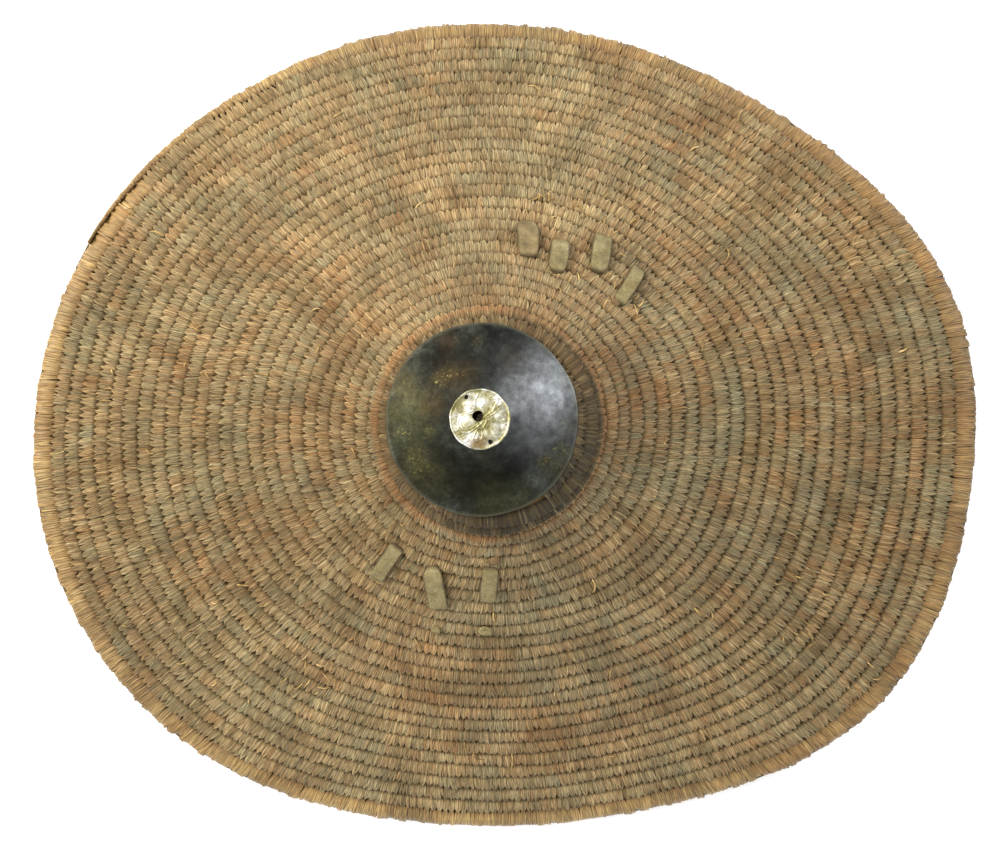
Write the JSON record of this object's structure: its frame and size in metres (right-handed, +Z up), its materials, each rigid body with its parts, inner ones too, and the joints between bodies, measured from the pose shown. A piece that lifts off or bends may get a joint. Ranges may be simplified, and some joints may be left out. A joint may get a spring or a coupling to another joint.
{
  "type": "coiled basketry shield",
  "caption": "Oval saddle-shaped shield of coiled stitched grass with a dark metal boss, a pierced silver disc, leather lashings and an inner hand strap",
  "frame": {"origin": "under the middle of the bounding box, on the surface that the shield lies on, face up", "axes": "+Z up out of the face, +X along the long way of the outline, +Y towards one of the two low edges of the rim"},
  "size_m": [0.6644, 0.5856, 0.2136],
  "materials": {
    "coiled_grass": "dry stitched palm leaf and grass, dusty, golden at the rim",
    "dark_brass": "dark patinated sheet brass, rubbed brighter in places",
    "old_silver": "worn silver with yellow tarnish",
    "rawhide": "dry greyish hide, matt"
  },
  "bodies": {
    "root": {"coiled_basket": "coiled_grass", "boss": "dark_brass", "apex_disc": "old_silver", "hand_strap": "rawhide", "lashing_1": "rawhide", "lashing_2": "rawhide", "lashing_3": "rawhide", "lashing_4": "rawhide", "lashing_5": "rawhide", "lashing_6": "rawhide", "lashing_7": "rawhide", "thong_end_1": "rawhide", "thong_end_2": "rawhide"}
  },
  "joints": []
}
